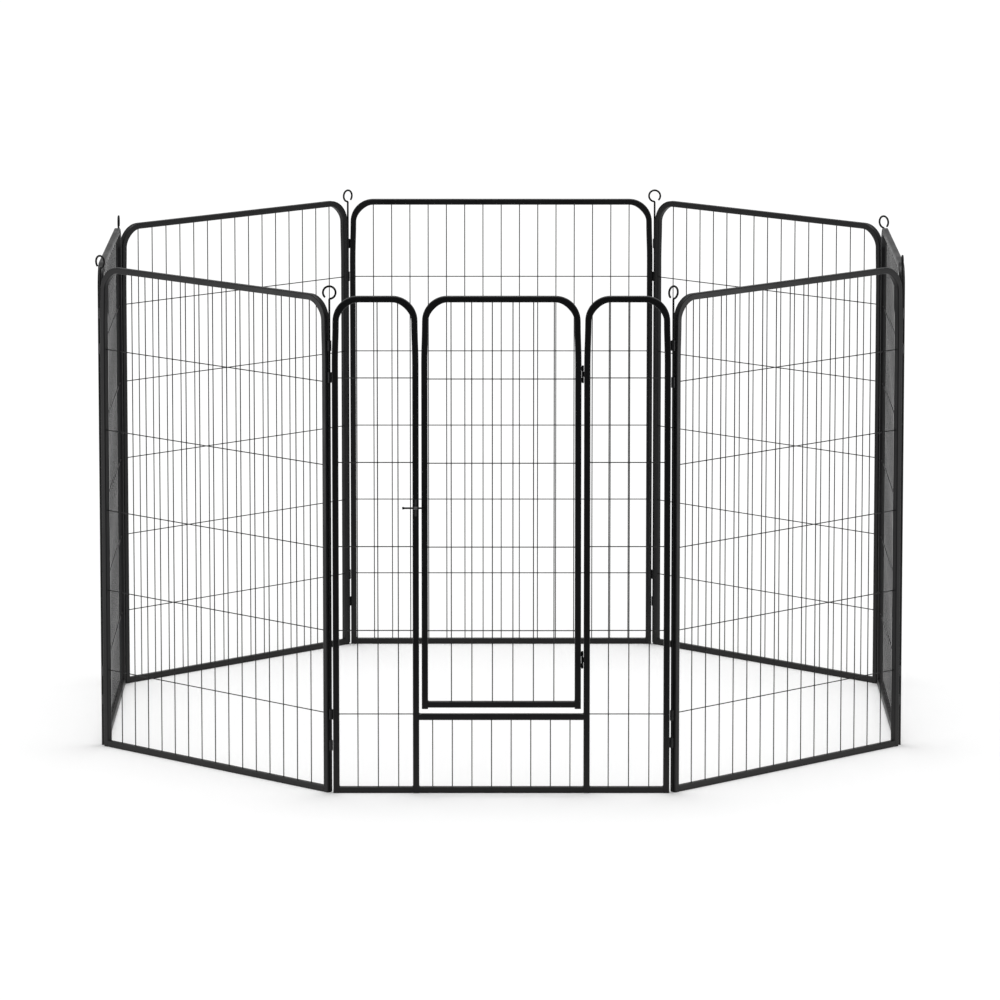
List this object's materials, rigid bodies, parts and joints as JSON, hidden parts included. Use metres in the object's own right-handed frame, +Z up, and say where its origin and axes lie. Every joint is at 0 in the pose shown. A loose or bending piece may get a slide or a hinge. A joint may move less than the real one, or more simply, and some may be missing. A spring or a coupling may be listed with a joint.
{
  "type": "pet playpen",
  "caption": "Octagonal folding metal pet playpen: welded-wire panels in square tube frames, joined by lift-out eye pins, with a latched walk-through door.",
  "frame": {"origin": "on the floor at the middle of the octagon, at rest", "axes": "+Z up; -Y points out through the door panel; +X to the right of someone facing the door from outside"},
  "size_m": [1.984, 1.9861, 1.2194],
  "materials": {
    "frame_coat": "satin black powder coat over square steel tube",
    "wire_coat": "satin black powder coat over welded steel wire",
    "pin_steel": "smoother black powder coat over round steel rod"
  },
  "bodies": {
    "panel_1": {"door_panel_left_frame": "frame_coat", "door_panel_left_bottom_rail": "frame_coat", "door_panel_left_mesh": "wire_coat", "door_panel_right_frame": "frame_coat", "door_panel_right_bottom_rail": "frame_coat", "door_panel_right_mesh": "wire_coat", "threshold_rail": "frame_coat", "sill_rail_and_wires": "frame_coat", "latch_guide": "frame_coat", "door_hinge_pin_lower": "pin_steel", "door_hinge_pin_upper": "pin_steel"},
    "door": {"door_frame": "frame_coat", "door_bottom_rail": "frame_coat", "door_mesh": "wire_coat", "door_keeper": "frame_coat"},
    "slide_bolt": {"slide_bolt": "pin_steel"},
    "panel_2": {"panel_2_frame": "frame_coat", "panel_2_bottom_rail": "frame_coat", "panel_2_mesh": "wire_coat"},
    "panel_3": {"panel_3_frame": "frame_coat", "panel_3_bottom_rail": "frame_coat", "panel_3_mesh": "wire_coat"},
    "panel_4": {"panel_4_frame": "frame_coat", "panel_4_bottom_rail": "frame_coat", "panel_4_mesh": "wire_coat"},
    "panel_5": {"panel_5_frame": "frame_coat", "panel_5_bottom_rail": "frame_coat", "panel_5_mesh": "wire_coat"},
    "panel_6": {"panel_6_frame": "frame_coat", "panel_6_bottom_rail": "frame_coat", "panel_6_mesh": "wire_coat"},
    "panel_7": {"panel_7_frame": "frame_coat", "panel_7_bottom_rail": "frame_coat", "panel_7_mesh": "wire_coat"},
    "panel_8": {"panel_8_frame": "frame_coat", "panel_8_bottom_rail": "frame_coat", "panel_8_mesh": "wire_coat"},
    "corner_pin_1": {"corner_pin_1": "pin_steel"},
    "corner_pin_2": {"corner_pin_2": "pin_steel"},
    "corner_pin_3": {"corner_pin_3": "pin_steel"},
    "corner_pin_4": {"corner_pin_4": "pin_steel"},
    "corner_pin_5": {"corner_pin_5": "pin_steel"},
    "corner_pin_6": {"corner_pin_6": "pin_steel"},
    "corner_pin_7": {"corner_pin_7": "pin_steel"},
    "corner_pin_8": {"corner_pin_8": "pin_steel"}
  },
  "joints": [
    {"name": "fold", "type": "hinge", "parent": "panel_1", "child": "panel_2", "pos_m": [0.4055, -0.97896, 0], "axis": [0, 0, 1], "range_deg": [-35, 35]},
    {"name": "fold_3", "type": "hinge", "parent": "panel_2", "child": "panel_3", "pos_m": [0.97896, -0.4055, 0], "axis": [0, 0, 1], "range_deg": [-35, 35]},
    {"name": "fold_4", "type": "hinge", "parent": "panel_3", "child": "panel_4", "pos_m": [0.97896, 0.4055, 0], "axis": [0, 0, 1], "range_deg": [-35, 35]},
    {"name": "fold_5", "type": "hinge", "parent": "panel_4", "child": "panel_5", "pos_m": [0.4055, 0.97896, 0], "axis": [0, 0, 1], "range_deg": [-35, 35]},
    {"name": "fold_8", "type": "hinge", "parent": "panel_1", "child": "panel_8", "pos_m": [-0.4055, -0.97896, 0], "axis": [0, 0, 1], "range_deg": [-35, 35]},
    {"name": "fold_7", "type": "hinge", "parent": "panel_8", "child": "panel_7", "pos_m": [-0.97896, -0.4055, 0], "axis": [0, 0, 1], "range_deg": [-35, 35]},
    {"name": "fold_6", "type": "hinge", "parent": "panel_7", "child": "panel_6", "pos_m": [-0.97896, 0.4055, 0], "axis": [0, 0, 1], "range_deg": [-35, 35]},
    {"name": "pin_1_lift", "type": "slide", "parent": "panel_1", "child": "corner_pin_1", "axis": [0, 0, 1], "range_m": [0, 1.1]},
    {"name": "pin_2_lift", "type": "slide", "parent": "panel_2", "child": "corner_pin_2", "axis": [0, 0, 1], "range_m": [0, 1.1]},
    {"name": "pin_3_lift", "type": "slide", "parent": "panel_3", "child": "corner_pin_3", "axis": [0, 0, 1], "range_m": [0, 1.1]},
    {"name": "pin_4_lift", "type": "slide", "parent": "panel_4", "child": "corner_pin_4", "axis": [0, 0, 1], "range_m": [0, 1.1]},
    {"name": "pin_5_lift", "type": "slide", "parent": "panel_5", "child": "corner_pin_5", "axis": [0, 0, 1], "range_m": [0, 1.1]},
    {"name": "pin_6_lift", "type": "slide", "parent": "panel_6", "child": "corner_pin_6", "axis": [0, 0, 1], "range_m": [0, 1.1]},
    {"name": "pin_7_lift", "type": "slide", "parent": "panel_7", "child": "corner_pin_7", "axis": [0, 0, 1], "range_m": [0, 1.1]},
    {"name": "pin_8_lift", "type": "slide", "parent": "panel_8", "child": "corner_pin_8", "axis": [0, 0, 1], "range_m": [0, 1.1]},
    {"name": "door_swing", "type": "hinge", "parent": "panel_1", "child": "door", "pos_m": [0.1924, -0.97476, 0], "axis": [0, 0, -1], "range_deg": [0, 110]},
    {"name": "bolt_slide", "type": "slide", "parent": "panel_1", "child": "slide_bolt", "axis": [-1, 0, 0], "range_m": [0, 0.016]}
  ],
  "couplings": [
    {"joint": "fold_3", "follows": "fold", "ratio": -1},
    {"joint": "fold_4", "follows": "fold", "ratio": 1},
    {"joint": "fold_5", "follows": "fold", "ratio": -1},
    {"joint": "fold_8", "follows": "fold", "ratio": 1},
    {"joint": "fold_7", "follows": "fold", "ratio": -1},
    {"joint": "fold_6", "follows": "fold", "ratio": 1}
  ]
}
